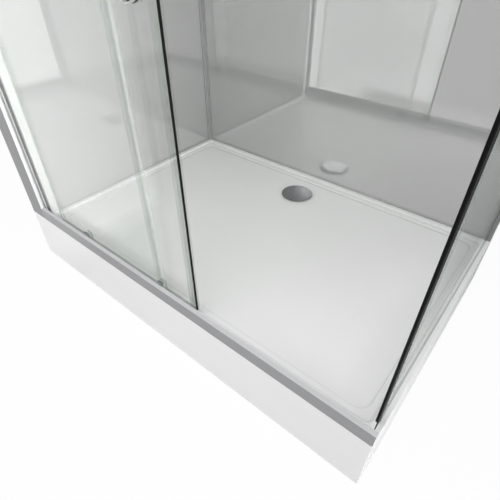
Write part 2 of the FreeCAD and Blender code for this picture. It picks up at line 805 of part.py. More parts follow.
def make_walls():
    keep("left_joint_profile", profile("joint_run", "z", [
        (f"{LEFT} + joint_left", FRAME_Y),
        (f"{LEFT} + joint_right", FRAME_Y),
        (f"{LEFT} + joint_right", JAMB_Y),
        (f"{LEFT} + joint_left", JAMB_Y),
    ], RIM, PROFILE_TOP, "joint_depth"))

    slot_x = (f"{PANEL_X} - glass_gap", f"{WALL_X} + glass_gap")
    slot_base = f"({JAMB_Y} + jamb_slot)"
    jamb_back = f"({JAMB_Y} + jamb_depth)"
    keep("left_wall_front_profile", profile("jamb_run", "z", [
        (f"{LEFT} + jamb_left", JAMB_Y),
        (f"{slot_x[1]} + jamb_lip", JAMB_Y),
        (f"{slot_x[1]} + jamb_lip", jamb_back),
        (slot_x[1], jamb_back),
        (slot_x[1], slot_base),
        (slot_x[0], slot_base),
        (slot_x[0], jamb_back),
        (f"{LEFT} + jamb_left", jamb_back),
    ], RIM, PROFILE_TOP, "jamb_lip"))

    panel_rise = (RIM, f"{PANEL_TOP} - glass_gap")
    panel = box("left_panel", (PANEL_X, WALL_X), (f"{slot_base} + glass_inset", WALL_Y), panel_rise)
    for side in (-1, 1):
        spot = (f"{MIXER_Y} + {side} * inlet_spacing / 2", MIXER_Z)
        panel = cut(panel, cylinder("inlet_hole", "union_radius + union_fit", f"{PANEL_X} - overrun",
                                    f"{WALL_X} + overrun", spot, "x"))
    keep("left_wall_panel", panel)
    keep("back_wall_panel", box("back_panel", (PANEL_X, f"{RIGHT} - end_wall - glass_inset"),
                                (WALL_Y, PANEL_Y), panel_rise))

    keep("rear_corner_post", profile("corner_run", "z", [
        (f"{PANEL_X} - corner_depth", f"{PANEL_Y} - corner_leg"),
        (PANEL_X, f"{PANEL_Y} - corner_leg"),
        (PANEL_X, PANEL_Y),
        (f"{PANEL_X} + corner_leg", PANEL_Y),
        (f"{PANEL_X} + corner_leg", f"{PANEL_Y} + corner_depth"),
        (f"{PANEL_X} - corner_depth", f"{PANEL_Y} + corner_depth"),
    ], RIM, PROFILE_TOP))

    keep("rear_corner_trim", profile("trim_run", "z", [
        (WALL_X, f"{WALL_Y} - trim_leg"),
        (f"{WALL_X} + trim_thickness", f"{WALL_Y} - trim_leg"),
        (f"{WALL_X} + trim_thickness", f"{WALL_Y} - trim_thickness"),
        (f"{WALL_X} + trim_leg", f"{WALL_Y} - trim_thickness"),
        (f"{WALL_X} + trim_leg", WALL_Y),
        (WALL_X, WALL_Y),
    ], RIM, PROFILE_TOP, "trim_thickness"))

    keep("left_top_profile", profile("left_cap_run", "y", [
        (f"{LEFT} + joint_left", TOP),
        (f"{LEFT} + joint_left", PANEL_TOP),
        (f"{slot_x[0]} - cap_lip", PANEL_TOP),
        (f"{slot_x[0]} - cap_lip", PROFILE_TOP),
        (slot_x[0], PROFILE_TOP),
        (slot_x[0], PANEL_TOP),
        (slot_x[1], PANEL_TOP),
        (slot_x[1], PROFILE_TOP),
        (f"{slot_x[1]} + cap_lip", PROFILE_TOP),
        (f"{slot_x[1]} + cap_lip", TOP),
    ], FRAME_Y, WALL_Y, "cap_lip"))

    slot_y = (f"{WALL_Y} - glass_gap", f"{PANEL_Y} + glass_gap")
    cap = profile("back_cap_run", "x", [
        (f"{slot_y[0]} - cap_lip", TOP),
        (f"{slot_y[0]} - cap_lip", PROFILE_TOP),
        (slot_y[0], PROFILE_TOP),
        (slot_y[0], PANEL_TOP),
        (slot_y[1], PANEL_TOP),
        (slot_y[1], PROFILE_TOP),
        (CAP_BACK, PROFILE_TOP),
        (CAP_BACK, TOP),
    ], f"{slot_x[1]} + cap_lip", f"{RIGHT} - end_width", "cap_lip")
    screw_z = f"{TOP} - screw_drop"
    brackets, screws = [], []
    for side in (-1, 1):
        middle = f"({side} * bracket_spacing / 2)"
        plate = f"({CAP_BACK} + bracket_thickness)"
        bracket = profile("bracket_run", "x", [
            (CAP_BACK, PROFILE_TOP),
            (plate, PROFILE_TOP),
            (plate, f"{TOP} - bracket_thickness"),
            (f"{BACK} - bracket_thickness", f"{TOP} - bracket_thickness"),
            (f"{BACK} - bracket_thickness", f"{TOP} - bracket_height"),
            (BACK, f"{TOP} - bracket_height"),
            (BACK, TOP),
            (CAP_BACK, TOP),
        ], f"{middle} - bracket_width / 2", f"{middle} + bracket_width / 2")
        wall_hole = cylinder("wall_hole", "bracket_hole", f"{BACK} - bracket_thickness - overrun",
                             f"{BACK} + overrun", (middle, f"{TOP} - bracket_hole_drop"), "y")
        screw_hole = cylinder("screw_hole", "screw_radius + loose_fit", slot_y[1], plate,
                              (middle, screw_z), "y")
        brackets.append(cut(bracket, wall_hole, screw_hole))
        cap = cut(cap, screw_hole)
        shank = cylinder("shank", "screw_radius", slot_y[1], plate, (middle, screw_z), "y")
        head = cylinder("head", "screw_head", plate, f"{plate} + screw_head_height", (middle, screw_z), "y")
        screws.append(fuse("screw", shank, head))
    keep("back_top_profile", cap)
    keep("wall_brackets", group("brackets", brackets))
    keep("bracket_screws", group("screws", screws))


# Side pane on the right

def make_side():
    slot = (f"{SIDE_IN} - glass_gap", f"{SIDE_OUT} + glass_gap")
    keep("side_glass", pane("side_pane", (SIDE_IN, SIDE_OUT), (SIDE_FRONT, f"{SIDE_END} - glass_inset"),
                            (f"{RIM} + side_seat", f"{TOP} - side_top_seat")))
    keep("side_base_profile", profile("side_base_run", "y", [
        (f"{slot[0]} - side_lip", RIM),
        (RIGHT, RIM),
        (RIGHT, f"{RIM} + side_base_height"),
        (slot[1], f"{RIM} + side_base_height"),
        (slot[1], f"{RIM} + side_seat"),
        (slot[0], f"{RIM} + side_seat"),
        (slot[0], f"{RIM} + side_base_height"),
        (f"{slot[0]} - side_lip", f"{RIM} + side_base_height"),
    ], SIDE_FRONT, SIDE_GRIP_Y, "side_lip"))
    keep("side_top_rail", profile("side_top_run", "y", [
        (f"{slot[0]} - side_lip", TOP),
        (f"{slot[0]} - side_lip", f"{TOP} - side_top_height"),
        (slot[0], f"{TOP} - side_top_height"),
        (slot[0], f"{TOP} - side_top_seat"),
        (slot[1], f"{TOP} - side_top_seat"),
        (slot[1], f"{TOP} - side_top_height"),
        (RIGHT, f"{TOP} - side_top_height"),
        (RIGHT, TOP),
    ], f"{FRONT} + hood_depth", SIDE_GRIP_Y, "side_lip"))
    keep("right_wall_profile", profile("end_run", "z", [
        (f"{slot[0]} - end_lip", SIDE_GRIP_Y),
        (slot[0], SIDE_GRIP_Y),
        (slot[0], SIDE_END),
        (slot[1], SIDE_END),
        (slot[1], SIDE_GRIP_Y),
        (RIGHT, SIDE_GRIP_Y),
        (RIGHT, f"{PANEL_Y} + glass_gap + end_back"),
        (f"{RIGHT} - end_width", f"{PANEL_Y} + glass_gap + end_back"),
        (f"{RIGHT} - end_width", f"{PANEL_Y} + glass_gap"),
        (f"{RIGHT} - end_wall", f"{PANEL_Y} + glass_gap"),
        (f"{RIGHT} - end_wall", f"{WALL_Y} - glass_gap"),
        (f"{slot[0]} - end_lip", f"{WALL_Y} - glass_gap"),
    ], RIM, TOP, "end_lip"))

    web = f"({SIDE_FRONT} - web_depth)"
    magnet = f"({web} - magnet_size)"
    stop = f"({SIDE_OUT} - stop_thickness)"
    seal_top = f"{TOP} - side_top_height - seal_gap"
    # The black strip carries the lip that the closed door comes up against.
    keep("side_magnet_seal", profile("side_magnet_run", "z", [
        (f"{SIDE_IN} - side_seal_inset", magnet),
        (stop, magnet),
        (stop, f"{magnet} - stop_lip"),
        (SIDE_OUT, f"{magnet} - stop_lip"),
        (SIDE_OUT, web),
        (f"{SIDE_IN} - side_seal_inset", web),
    ], f"{RIM} + side_seal_lift", seal_top, "stop_thickness"))
    legs = (f"({SIDE_IN} - seal_fit)", f"({SIDE_OUT} + seal_fit)")
    skin = (f"({SIDE_IN} - seal_wall)", f"({SIDE_OUT} + seal_wall)")
    grip = f"{SIDE_FRONT} + side_grip"
    keep("side_seal_carrier", profile("side_carrier_run", "z", [
        (skin[0], web),
        (skin[1], web),
        (skin[1], grip),
        (legs[1], grip),
        (legs[1], f"{SIDE_FRONT} - seal_fit"),
        (legs[0], f"{SIDE_FRONT} - seal_fit"),
        (legs[0], grip),
        (skin[0], grip),
    ], f"{RIM} + side_base_height + seal_gap", seal_top))


# Sliding door

def make_door():
    hangers = (f"({DOOR_TAIL} + hanger_from_edge)", f"({DOOR_EDGE} - hanger_from_edge)")
    guides = (f"({DOOR_TAIL} + guide_from_tail)", f"({DOOR_EDGE} - guide_from_edge)")
    glass = pane("door_pane", (DOOR_TAIL, DOOR_EDGE), (DOOR_FRONT, DOOR_BACK),
                 (DOOR_FOOT, f"{TOP} - door_top_gap"))
    plates, axles, nuts = [], [], []
    plate_back = f"({DOOR_BACK} + hanger_thickness)"
    wheel = 0
    for hanger in hangers:
        plate = box("hanger", (f"{hanger} - hanger_width / 2", f"{hanger} + hanger_width / 2"),
                    (DOOR_BACK, plate_back),
                    (f"{AXLE_Z} - hanger_height / 2", f"{AXLE_Z} + hanger_height / 2"))
        along_y = lambda edge: edge.BoundBox.YLength > edge.BoundBox.XLength + edge.BoundBox.ZLength
        plate = soften(plate, "hanger_round", along_y)
        for side in (-1, 1):
            spot = (f"({hanger} + {side} * hanger_spacing / 2)", AXLE_Z)
            hole = cylinder("glass_hole", "axle_collar + loose_fit", f"{DOOR_FRONT} - overrun",
                            f"{DOOR_BACK} + overrun", spot, "y")
            glass = cut(glass, hole)
            plate_hole = cylinder("plate_hole", "axle_radius + loose_fit", f"{DOOR_BACK} - overrun",
                                  f"{plate_back} + overrun", spot, "y")
            plate = cut(plate, plate_hole)
            head_front = f"{WHEEL_FRONT} - wheel_gap - axle_head_height"
            tail_end = f"{plate_back} + axle_tail"
            axles.append(fuse(
                "axle",
                cylinder("axle_cap", "axle_head", head_front, f"{WHEEL_FRONT} - wheel_gap", spot, "y"),
                cylinder("axle_pin", "axle_radius", head_front, tail_end, spot, "y"),
                cylinder("axle_stand", "axle_collar", COLLAR_FRONT, DOOR_BACK, spot, "y"),
            ))
            nut = hexagon("axle_hex", "axle_nut", plate_back, f"{plate_back} + axle_nut_height", spot, "y")
            nut_hole = cylinder("axle_hex_hole", "axle_radius + loose_fit", f"{plate_back} - overrun",
                                f"{plate_back} + axle_nut_height + overrun", spot, "y")
            nuts.append(cut(nut, nut_hole))
            wheel += 1
            tyre = cylinder("wheel", "wheel_radius", WHEEL_FRONT, WHEEL_BACK, spot, "y")
            tyre = soften(tyre, "wheel_round", lambda edge: edge.Closed)
            bore = cylinder("wheel_bore", "axle_radius + axle_fit", f"{WHEEL_FRONT} - overrun",
                            f"{WHEEL_BACK} + overrun", spot, "y")
            keep(f"roller_wheel_{wheel}", cut(tyre, bore))
        plates.append(plate)
    keep("door_glass", glass)
    keep("hanger_plates", group("plates", plates))
    keep("roller_axles", group("axles", axles))
    keep("axle_nuts", group("hexes", nuts))

    skin = (f"({DOOR_FRONT} - seal_wall)", f"({DOOR_BACK} + seal_wall)")
    web = f"({DOOR_EDGE} + seal_wall)"
    magnet_back = f"({skin[0]} + door_magnet_depth)"
    strip = box("door_magnet_run", (web, DOOR_LEAD), (skin[0], magnet_back), (DOOR_FOOT, DOOR_SEAL_TOP))
    keep("door_magnet_seal", soften(strip, "door_magnet_round", upright))
    legs = (f"({DOOR_FRONT} - seal_fit)", f"({DOOR_BACK} + seal_fit)")
    grip = f"{DOOR_EDGE} - carrier_grip"
    keep("door_seal_carrier", profile("carrier_run", "z", [
        (grip, skin[0]),
        (web, skin[0]),
        (web, magnet_back),
        (DOOR_LEAD, magnet_back),
        (DOOR_LEAD, skin[1]),
        (grip, skin[1]),
        (grip, legs[1]),
        (f"{DOOR_EDGE} + seal_fit", legs[1]),
        (f"{DOOR_EDGE} + seal_fit", legs[0]),
        (grip, legs[0]),
    ], DOOR_FOOT, DOOR_SEAL_TOP))
    tail = f"({DOOR_TAIL} - rear_seal_nose)"
    keep("door_rear_seal", profile("rear_seal_run", "z", [
        (tail, skin[0]),
        (f"{DOOR_TAIL} + rear_seal_grip", skin[0]),
        (f"{DOOR_TAIL} + rear_seal_grip", legs[0]),
        (f"{DOOR_TAIL} - seal_fit", legs[0]),
        (f"{DOOR_TAIL} - seal_fit", legs[1]),
        (f"{DOOR_TAIL} + rear_seal_grip", legs[1]),
        (f"{DOOR_TAIL} + rear_seal_grip", skin[1]),
        (tail, skin[1]),
    ], DOOR_FOOT, DOOR_SEAL_TOP))

    fin = (f"{FRAME_Y} + fin_gap - guide_gap", f"{FRAME_Y} + fin_gap + fin_thickness + guide_gap")
    foot = f"({RIM} + base_height + guide_clear)"
    head = f"({foot} + guide_height)"
    over_fin = f"{RIM} + fin_height + guide_clear"
    clips = []
    for middle in guides:
        clips.append(profile("guide_run", "x", [
            (f"{FRAME_Y} + guide_front", foot),
            (fin[0], foot),
            (fin[0], over_fin),
            (fin[1], over_fin),
            (fin[1], foot),
            (f"{DOOR_BACK} + guide_leg", foot),
            (f"{DOOR_BACK} + guide_leg", head),
            (legs[1], head),
            (legs[1], f"{DOOR_FOOT} - seal_fit"),
            (legs[0], f"{DOOR_FOOT} - seal_fit"),
            (legs[0], head),
            (f"{FRAME_Y} + guide_front", head),
        ], f"{middle} - guide_width / 2", f"{middle} + guide_width / 2"))
    keep("door_bottom_guides", group("guides", clips))

    stops = [DOOR_TAIL]
    for middle in guides:
        stops += [f"{middle} - guide_width / 2", f"{middle} + guide_width / 2"]
    stops.append(DOOR_EDGE)
    strips = []
    thickness = f"{DOOR_FRONT} + (glass_thickness - drip_thickness) / 2"
    for low, high in zip(stops[0::2], stops[1::2]):
        strips.append(box("drip_strip", (f"{low} + drip_end", f"{high} - drip_end"),
                          (thickness, f"{thickness} + drip_thickness"),
                          (f"{RIM} + drip_gap", f"{DOOR_FOOT} - seal_fit")))
    keep("door_drip_seal", group("drip_strips", strips))

    spot = (f"{DOOR_LEAD} - pull_from_edge", "pull_height")
    sides = {
        "door_pull_front": (f"({DOOR_FRONT} - pull_front)", DOOR_FRONT),
        "door_pull_back": (DOOR_BACK, f"({DOOR_BACK} + pull_back)"),
    }
    for label, (low, high) in sides.items():
        ring = cut(
            cylinder("pull_disc", "pull_radius", low, high, spot, "y"),
            cylinder("pull_opening", "pull_hole", f"{low} - overrun", f"{high} + overrun", spot, "y"),
        )
        doc.recompute()
        free = ring.Shape.BoundBox.YMin if label.endswith("front") else ring.Shape.BoundBox.YMax
        on_free_face = lambda edge: edge.Closed and abs(edge.BoundBox.Center.y - free) < SAME_PLACE
        keep(label, soften(ring, "pull_round", on_free_face))


# Mixer, riser and shower head

def make_mixer():
    ends = (f"({MIXER_Y} - mixer_length / 2)", f"({MIXER_Y} + mixer_length / 2)")
    axis = (MIXER_X, MIXER_Z)
    barrel = cylinder("barrel", "mixer_radius", ends[0], ends[1], axis, "y")
    barrel = soften(barrel, "mixer_round", lambda edge: edge.Closed)
    spindles = cylinder("spindles", "spindle_radius", f"{ends[0]} - spindle_length",
                        f"{ends[1]} + spindle_length", axis, "y")
    top_boss = cylinder("top_boss", "boss_radius", MIXER_Z, f"{MIXER_Z} + riser_foot", (MIXER_X, MIXER_Y))
    joint_x = f"({WALL_X} + boss_gap)"
    bosses, unions, plates = [], [], []
    for side in (-1, 1):
        spot = (f"({MIXER_Y} + {side} * inlet_spacing / 2)", MIXER_Z)
        bosses.append(cylinder("boss", "boss_radius", joint_x, MIXER_X, spot, "x"))
        unions.append(fuse(
            "union",
            cylinder("union_tail_run", "union_radius", f"{PANEL_X} - union_tail", PANEL_X, spot, "x"),
            cylinder("union_neck_run", "union_neck", PANEL_X, joint_x, spot, "x"),
        ))
        plate = cylinder("plate", "plate_radius", WALL_X, f"{WALL_X} + plate_thickness", spot, "x")
        face = sheet.wall_face - sheet.tray_width / 2 + sheet.plate_thickness
        plate = soften(plate, "plate_round", ring_at("x", face, sheet.plate_radius))
        hole = cylinder("plate_bore", "union_neck + loose_fit", f"{WALL_X} - overrun",
                        f"{WALL_X} + plate_thickness + overrun", spot, "x")
        plates.append(cut(plate, hole))
    keep("mixer_body", fuse("mixer", barrel, spindles, top_boss, *bosses))
    keep("inlet_unions", group("unions", unions))
    keep("wall_plates", group("wall_rosettes", plates))

    # The knob nearer the door sets the flow, the other one the temperature.
    knobs = {"flow_knob": (ends[0], -1), "temperature_knob": (ends[1], 1)}
    for label, (end, way) in knobs.items():
        near = f"({end} + {way} * knob_gap)"
        far = f"({near} + {way} * knob_length)"
        bore_end = f"({end} + {way} * (spindle_length + knob_gap))"
        grip_end = f"({far} - {way} * grip_length)"
        order = (lambda first, last: (first, last)) if way > 0 else (lambda first, last: (last, first))
        grip_box = box(
            "knob_grip",
            (f"{MIXER_X} - grip_width / 2", f"{MIXER_X} + grip_width / 2"),
            order(grip_end, far),
            (MIXER_Z, f"{MIXER_Z} + knob_radius + grip_rise"),
        )
        cap = cylinder("knob_cap", "knob_radius", *order(near, far), axis, "y")
        cap = soften(cap, "knob_round", lambda edge: edge.Closed)
        bore = cylinder("knob_bore", "spindle_radius + spindle_fit", *order(near, bore_end), axis, "y")
        keep(label, cut(fuse("knob", cap, grip_box), bore))


def bend(name, x, turn):
    # A quarter of a ring, joining two straight runs of the riser in the plane across the cabin.
    obj = doc.addObject("Part::Torus", name)
    bind(obj, "Radius1", "riser_bend")
    bind(obj, "Radius2", "riser_radius")
    obj.Angle3 = 90
    obj.Placement = FreeCAD.Placement(FreeCAD.Vector(), turn)
    place(obj, x, MIXER_Y, f"{ARM_Z} - riser_bend")
    return obj


def make_shower():
    across, along, up = FreeCAD.Vector(1, 0, 0), FreeCAD.Vector(0, 1, 0), FreeCAD.Vector(0, 0, 1)
    low_turn = f"{MIXER_X} + riser_bend"
    high_turn = f"{HEAD_X} - riser_bend"
    ball = doc.addObject("Part::Sphere", "ball")
    bind(ball, "Radius", "ball_radius")
    place(ball, HEAD_X, MIXER_Y, BALL_Z)
    keep("riser_pipe", fuse(
        "riser",
        cylinder("riser_run", "riser_radius", f"{MIXER_Z} + riser_foot", f"{ARM_Z} - riser_bend",
                 (MIXER_X, MIXER_Y)),
        bend("riser_elbow", low_turn, FreeCAD.Rotation(-across, up, along, "XYZ")),
        cylinder("arm_run", "riser_radius", low_turn, high_turn, (MIXER_Y, ARM_Z), "x"),
        bend("arm_elbow", high_turn, FreeCAD.Rotation(up, across, along, "XYZ")),
        cylinder("drop_run", "riser_radius", DROP_Z, f"{ARM_Z} - riser_bend", (HEAD_X, MIXER_Y)),
        cylinder("neck", "neck_radius", BALL_Z, DROP_Z, (HEAD_X, MIXER_Y)),
        ball,
    ))

    clamp_z = f"({ARM_Z} - clamp_below_arm)"
    half = "clamp_height / 2"
    clamp = fuse(
        "clamp",
        cylinder("clamp_ring", "riser_radius + loose_fit + clamp_wall", f"{clamp_z} - {half}",
                 f"{clamp_z} + {half}", (MIXER_X, MIXER_Y)),
        cylinder("clamp_bar", "clamp_arm", WALL_X, MIXER_X, (MIXER_Y, clamp_z), "x"),
        cylinder("clamp_disc", "clamp_foot", WALL_X, f"{WALL_X} + clamp_foot_height",
                 (MIXER_Y, clamp_z), "x"),
    )
    riser_hole = cylinder("clamp_bore", "riser_radius + loose_fit", f"{clamp_z} - {half} - overrun",
                          f"{clamp_z} + {half} + overrun", (MIXER_X, MIXER_Y))
    keep("riser_bracket", cut(clamp, riser_hole))

    socket = doc.addObject("Part::Sphere", "socket")
    bind(socket, "Radius", "ball_radius + ball_fit")
    place(socket, HEAD_X, MIXER_Y, BALL_Z)
    rim = f"{HEAD_BASE} + head_thickness"
    head = turned("head_turning", [
        (0, HEAD_BASE),
        ("head_radius", HEAD_BASE),
        ("head_radius", rim),
        ("socket_radius", f"{rim} + head_dome"),
        ("socket_radius", f"{BALL_Z} + socket_rise"),
        (0, f"{BALL_Z} + socket_rise"),
    ], (HEAD_X, MIXER_Y, 0))
    doc.recompute()
    wide = lambda edge: edge.Closed and abs(edge.BoundBox.XLength / 2 - sheet.head_radius) < SAME_PLACE
    keep("shower_head", cut(soften(head, "head_round", wide), socket))

    plate_base = f"({HEAD_BASE} - nozzle_plate_height)"
    keep("nozzle_plate", cylinder("spray_plate", "nozzle_plate_radius", plate_base, HEAD_BASE,
                                  (HEAD_X, MIXER_Y)))
    tips = []
    for ring in range(NOZZLE_RINGS + 1):
        count = max(1, FIRST_RING_COUNT * ring)
        for step in range(count):
            turn = 2 * math.pi * step / count
            spot = (f"{HEAD_X} + nozzle_pitch * {ring * math.cos(turn):.9f}",
                    f"{MIXER_Y} + nozzle_pitch * {ring * math.sin(turn):.9f}")
            tips.append(cylinder("tip", "nozzle_radius", f"{plate_base} - nozzle_height", plate_base, spot))
    keep("spray_nozzles", group("tips", tips))


def write_pieces():
    doc.recompute()
    failed = [obj.Label for obj in doc.Objects if {"Invalid", "Error"} & set(obj.State)]
    failed += [obj.Label for obj in nodes if obj.Shape.isNull() or not obj.Shape.isValid()]
    if failed:
        raise SystemExit("failed pieces: " + ", ".join(failed))
    os.makedirs("parts", exist_ok=True)
    for obj in nodes:
        obj.Shape.exportStep(f"parts/{obj.Label}.step")
        print(obj.Label, len(obj.Shape.Solids), round(obj.Shape.Volume))


make_tray()
make_aprons()
make_drain()
make_support()
make_front_frame()
make_fixed_pane()
make_walls()
make_side()
make_door()
make_mixer()
make_shower()
write_pieces()
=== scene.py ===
import json
import math

import bmesh
import bpy
from mathutils import Euler, Matrix, Vector


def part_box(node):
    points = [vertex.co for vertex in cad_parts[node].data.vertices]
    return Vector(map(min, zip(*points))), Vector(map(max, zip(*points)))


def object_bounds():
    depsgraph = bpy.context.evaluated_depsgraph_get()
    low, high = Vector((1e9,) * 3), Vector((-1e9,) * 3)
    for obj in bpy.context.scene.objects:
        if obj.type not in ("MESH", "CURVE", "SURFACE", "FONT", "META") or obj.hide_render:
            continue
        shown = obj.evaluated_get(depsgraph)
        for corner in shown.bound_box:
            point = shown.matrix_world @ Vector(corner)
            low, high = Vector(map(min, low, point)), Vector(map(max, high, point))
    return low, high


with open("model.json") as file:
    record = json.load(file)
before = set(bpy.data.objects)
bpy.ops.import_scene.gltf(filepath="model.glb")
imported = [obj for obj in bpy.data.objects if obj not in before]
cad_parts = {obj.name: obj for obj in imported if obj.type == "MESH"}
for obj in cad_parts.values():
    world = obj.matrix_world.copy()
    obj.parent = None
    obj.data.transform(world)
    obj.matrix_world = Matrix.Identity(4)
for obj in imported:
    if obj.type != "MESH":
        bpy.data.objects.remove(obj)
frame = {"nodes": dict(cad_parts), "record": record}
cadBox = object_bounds()
nodes = frame["nodes"]
scene = bpy.context.scene
print("frame loaded,", len(nodes), "pieces")


def hexLinear(code):
    # sRGB hex to the linear colour that the shaders take
    parts = [int(code[i:i + 2], 16) / 255 for i in (1, 3, 5)]
    return tuple(c / 12.92 if c <= 0.04045 else ((c + 0.055) / 1.055) ** 2.4 for c in parts) + (1.0,)


def metres(sizeMm):
    return sizeMm / 1000


def perMetre(sizeMm):
    return 1000 / sizeMm


def addNode(tree, kind, inputs=None, **settings):
    # an input is a plain value, a socket, or a node whose first output is taken
    node = tree.nodes.new(kind)
    for key, value in settings.items():
        setattr(node, key, value)
    for key, value in (inputs or {}).items():
        if isinstance(value, bpy.types.Node):
            value = value.outputs[0]
        if isinstance(value, bpy.types.NodeSocket):
            tree.links.new(value, node.inputs[key])
        else:
            node.inputs[key].default_value = value
    return node


def startFinish(name):
    material = bpy.data.materials.new(name)
    material.use_nodes = True
    material.node_tree.nodes.clear()
    return material, material.node_tree


# camera, solved from the tray's edges
cameraSettings = {
    "place": (0.6386, -0.7914, 0.9008),
    "tilt": 50.386,
    "turn": 39.505,
    "roll": -0.177,
    "lens": 28.73,
    "sensor": 36.0,
    "nearest": 0.01,
}


def makeCamera(s):
    data = bpy.data.cameras.new("camera")
    data.lens = s["lens"]
    data.sensor_width = s["sensor"]
    data.clip_start = s["nearest"]
    camera = bpy.data.objects.new("camera", data)
    scene.collection.objects.link(camera)
    aim = Euler((math.radians(s["tilt"]), 0, math.radians(s["turn"]))).to_matrix()
    aim = aim @ Matrix.Rotation(math.radians(s["roll"]), 3, "Z")
    camera.matrix_world = Matrix.Translation(s["place"]) @ aim.to_4x4()
    scene.camera = camera
    print("camera set")


makeCamera(cameraSettings)

# pale room: white where it is seen; where gloss mirrors it, bright to the sides, dimmer behind
# and in the gap between the front and the left
roomSettings = {
    "colour": "#FFFFFF",
    "ambient": 0.55,
    "through": 1.45,
    "seen": 1.0,
    "glossFront": 0.7,
    "glossGap": 0.2,
    "glossLeft": 1.6,
    "glossRight": 1.0,
    "gapRange": (-0.55, -0.75),
    "leftRange": (-0.79, -0.92),
    "rightRange": (0.3, 0.85),
    "behindShare": 0.5,
    "behindRange": (0.4, 0.95),
}


def makeRoom(s):
    world = bpy.data.worlds.new("paleRoom")
    scene.world = world
    world.use_nodes = True
    tree = world.node_tree
    tree.nodes.clear()
    path = addNode(tree, "ShaderNodeLightPath").outputs
    way = addNode(tree, "ShaderNodeTexCoord").outputs["Generated"]
    # the compass direction, whatever the height
    way = addNode(tree, "ShaderNodeVectorMath", {0: way, 1: (1, 1, 0)}, operation="MULTIPLY")
    way = addNode(tree, "ShaderNodeVectorMath", {0: way}, operation="NORMALIZE")
    way = addNode(tree, "ShaderNodeSeparateXYZ", {0: way}).outputs
    # each side's level takes over as the direction passes its range
    gloss = s["glossFront"]
    for side, span in (("glossGap", "gapRange"), ("glossLeft", "leftRange"), ("glossRight", "rightRange")):
        start, full = s[span]
        share = addNode(tree, "ShaderNodeMapRange", {0: way["X"], 1: start, 2: full})
        gloss = addNode(tree, "ShaderNodeMix", {"Factor": share, "A": gloss, "B": s[side]})
    start, full = s["behindRange"]
    behind = addNode(tree, "ShaderNodeMapRange",
                     {0: way["Y"], 1: start, 2: full, 3: 1.0, 4: s["behindShare"]})
    gloss = addNode(tree, "ShaderNodeMath", {0: gloss, 1: behind}, operation="MULTIPLY")
    level = addNode(tree, "ShaderNodeMix", {"Factor": path["Is Glossy Ray"], "A": s["ambient"], "B": gloss})
    for ray, strength in (("Is Transmission Ray", s["through"]), ("Is Camera Ray", s["seen"])):
        level = addNode(tree, "ShaderNodeMix", {"Factor": path[ray], "A": level, "B": strength})
    sky = addNode(tree, "ShaderNodeBackground", {"Color": hexLinear(s["colour"]), "Strength": level})
    addNode(tree, "ShaderNodeOutputWorld", {"Surface": sky})
    print("room set")


makeRoom(roomSettings)

# floor: pale grey round the cabin, with painted shade that deepens it behind the cabin; white to the eye with
# a faint shadow
floorSettings = {
    "half": 9.0,
    "reach": 0.7,
    "softEdge": 0.16,
    "frontColour": "#E4E4E4",
    "shadedBackColour": "#A3A8A6",
    "seenGlow": 0.965,
    "glossGlow": 0.4,
}


def makeFloor(s):
    sheet = bmesh.new()
    bmesh.ops.create_grid(sheet, x_segments=1, y_segments=1, size=s["half"])
    mesh = bpy.data.meshes.new("floor")
    sheet.to_mesh(mesh)
    sheet.free()
    floor = bpy.data.objects.new("floor", mesh)
    scene.collection.objects.link(floor)
    paper, tree = startFinish("paperFloor")
    path = addNode(tree, "ShaderNodeLightPath").outputs
    spot = addNode(tree, "ShaderNodeTexCoord").outputs["Object"]
    spot = addNode(tree, "ShaderNodeSeparateXYZ", {0: spot}).outputs
    front, back = cadBox[0][1], cadBox[1][1]
    left, near, right = cadBox[0][0], front - s["reach"], cadBox[1][0] + s["reach"]
    # how far past a border a spot lies, from 0 to 1 over the soft edge
    borders = (("X", left + s["softEdge"], left), ("Y", near, near - s["softEdge"]),
               ("X", right, right + s["softEdge"]))
    past = 0.0
    for axis, start, end in borders:
        step = addNode(tree, "ShaderNodeMapRange", {0: spot[axis], 1: start, 2: end})
        past = addNode(tree, "ShaderNodeMath", {0: past, 1: step}, operation="MAXIMUM")
    # out there, gloss and glass see the room in place of the floor
    bounced = addNode(tree, "ShaderNodeMath", {0: path["Is Glossy Ray"], 1: path["Is Transmission Ray"]},
                      operation="MAXIMUM")
    past = addNode(tree, "ShaderNodeMath", {0: past, 1: bounced}, operation="MULTIPLY")
    # the eye sees the floor glow; gloss sees its front glow, less and less towards the back
    seen = addNode(tree, "ShaderNodeMath", {0: path["Is Camera Ray"], 1: s["seenGlow"]}, operation="MULTIPLY")
    fading = addNode(tree, "ShaderNodeMapRange",
                     {0: spot["Y"], 1: front / 2, 2: back, 3: s["glossGlow"], 4: 0.0})
    mirrored = addNode(tree, "ShaderNodeMath", {0: fading, 1: path["Is Glossy Ray"]}, operation="MULTIPLY")
    glowShare = addNode(tree, "ShaderNodeMath", {0: seen, 1: mirrored}, operation="ADD")
    # painted shade: the floor's colour darkens from the cabin's front to its back
    shadeShare = addNode(tree, "ShaderNodeMapRange", {0: spot["Y"], 1: front, 2: back})
    colour = addNode(tree, "ShaderNodeMix", {0: shadeShare, 6: hexLinear(s["frontColour"]),
                                             7: hexLinear(s["shadedBackColour"])}, data_type="RGBA")
    matt = addNode(tree, "ShaderNodeBsdfDiffuse", {"Color": colour.outputs[2]})
    glow = addNode(tree, "ShaderNodeEmission", {"Strength": 1.0})
    sheetLook = addNode(tree, "ShaderNodeMixShader", {0: glowShare, 1: matt, 2: glow})
    room = addNode(tree, "ShaderNodeBsdfTransparent")
    surface = addNode(tree, "ShaderNodeMixShader", {0: past, 1: sheetLook, 2: room})
    addNode(tree, "ShaderNodeOutputMaterial", {"Surface": surface})
    mesh.materials.append(paper)
    print("floor set")


makeFloor(floorSettings)

